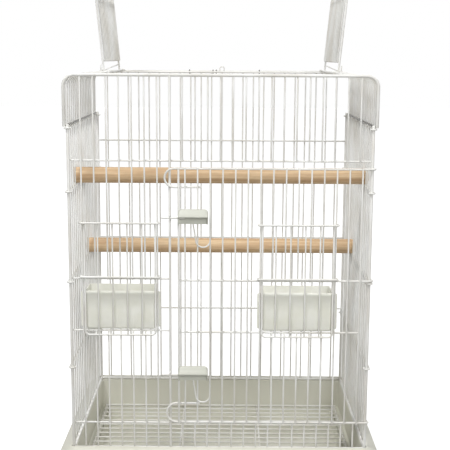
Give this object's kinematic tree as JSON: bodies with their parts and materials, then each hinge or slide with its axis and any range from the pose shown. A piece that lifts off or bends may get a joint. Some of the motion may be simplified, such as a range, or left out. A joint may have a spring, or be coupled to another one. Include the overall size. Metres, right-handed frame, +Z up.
{
  "type": "parrot cage",
  "caption": "Tall wire parrot cage with a bent-bar roof hood, open roof doors, a large front door, sliding feeder doors over cups, wooden perches, and a moulded base with tray.",
  "frame": {"origin": "middle of the base's underside", "axes": "+Z up, -Y the front with the main door, +X to the right as seen from the front"},
  "size_m": [0.51, 0.3958, 0.8439],
  "materials": {
    "powder_coat": "semi-gloss white powder coat",
    "grey_plastic": "satin moulded",
    "white_plastic": "satin moulded",
    "cup_plastic": "translucent moulded",
    "perch_wood": "plain turned softwood"
  },
  "bodies": {
    "cage": {"base": "grey_plastic", "front_left_bars": "powder_coat", "front_left_post": "powder_coat", "front_lower_bars": "powder_coat", "front_perch": "perch_wood", "front_rail": "powder_coat", "front_upper_bars": "powder_coat", "hinge_post": "powder_coat", "left_bars": "powder_coat", "left_rail": "powder_coat", "left_wire_2": "powder_coat", "left_wire_3": "powder_coat", "left_wire_4": "powder_coat", "lower_latch_catch": "powder_coat", "rear_bars": "powder_coat", "rear_left_post": "powder_coat", "rear_perch": "perch_wood", "rear_rail": "powder_coat", "rear_right_post": "powder_coat", "rear_wire_1": "powder_coat", "rear_wire_3": "powder_coat", "right_bars": "powder_coat", "right_rail": "powder_coat", "right_wire_2": "powder_coat", "right_wire_3": "powder_coat", "right_wire_4": "powder_coat", "roof_front_arch": "powder_coat", "roof_front_wire_1": "powder_coat", "roof_front_wire_2": "powder_coat", "roof_front_wire_3": "powder_coat", "roof_front_wire_4": "powder_coat", "roof_left_bars": "powder_coat", "roof_left_skirt": "powder_coat", "roof_rear_arch": "powder_coat", "roof_rear_wire_1": "powder_coat", "roof_rear_wire_2": "powder_coat", "roof_rear_wire_3": "powder_coat", "roof_right_bars": "powder_coat", "roof_right_skirt": "powder_coat", "upper_latch_catch": "powder_coat"},
    "main_door": {"door_bars": "powder_coat", "door_top_wire": "powder_coat", "door_bottom_wire": "powder_coat", "upper_latch_spring": "powder_coat", "lower_latch_spring": "powder_coat"},
    "left_feeder_door": {"left_feeder_door": "powder_coat"},
    "right_feeder_door": {"right_feeder_door": "powder_coat"},
    "upper_latch": {"upper_latch_grip": "white_plastic", "upper_latch_bolt": "powder_coat"},
    "lower_latch": {"lower_latch_grip": "white_plastic", "lower_latch_bolt": "powder_coat"},
    "roof_door_left": {"roof_door_left_frame": "powder_coat", "roof_door_left_bars": "powder_coat"},
    "roof_door_right": {"roof_door_right_frame": "powder_coat", "roof_door_right_bars": "powder_coat"},
    "tray": {"tray": "grey_plastic"},
    "floor_grille": {"grille_frame": "powder_coat", "grille_bars": "powder_coat"},
    "left_cup": {"left_cup": "cup_plastic"},
    "right_cup": {"right_cup": "cup_plastic"}
  },
  "joints": [
    {"name": "main_door_hinge", "type": "hinge", "parent": "cage", "child": "main_door", "pos_m": [0.2286, -0.17145, 0.3], "axis": [0, 0, 1], "range_deg": [0, 170]},
    {"name": "left_feeder_slide", "type": "slide", "parent": "cage", "child": "left_feeder_door", "axis": [0, 0, 1], "range_m": [0, 0.085]},
    {"name": "right_feeder_slide", "type": "slide", "parent": "main_door", "child": "right_feeder_door", "axis": [0, 0, 1], "range_m": [0, 0.08]},
    {"name": "upper_latch_slide", "type": "slide", "parent": "main_door", "child": "upper_latch", "axis": [1, 0, 0], "range_m": [0, 0.01], "stiffness_N_per_m": 150, "springref_m": -0.01},
    {"name": "lower_latch_slide", "type": "slide", "parent": "main_door", "child": "lower_latch", "axis": [1, 0, 0], "range_m": [0, 0.01], "stiffness_N_per_m": 150, "springref_m": -0.01},
    {"name": "roof_door_left_hinge", "type": "hinge", "parent": "cage", "child": "roof_door_left", "pos_m": [-0.178, 0, 0.6676], "axis": [0, 1, 0], "range_deg": [0, 95.5]},
    {"name": "roof_door_right_hinge", "type": "hinge", "parent": "cage", "child": "roof_door_right", "pos_m": [0.178, 0, 0.6676], "axis": [0, -1, 0], "range_deg": [0, 95.5]},
    {"name": "tray_slide", "type": "slide", "parent": "cage", "child": "tray", "axis": [0, -1, 0], "range_m": [0, 0.25]},
    {"name": "grille_slide", "type": "slide", "parent": "cage", "child": "floor_grille", "axis": [0, -1, 0], "range_m": [0, 0.25]},
    {"name": "left_cup_slide", "type": "slide", "parent": "cage", "child": "left_cup", "axis": [0, 1, 0], "range_m": [0, 0.04]},
    {"name": "right_cup_slide", "type": "slide", "parent": "main_door", "child": "right_cup", "axis": [0, 1, 0], "range_m": [0, 0.04]}
  ]
}
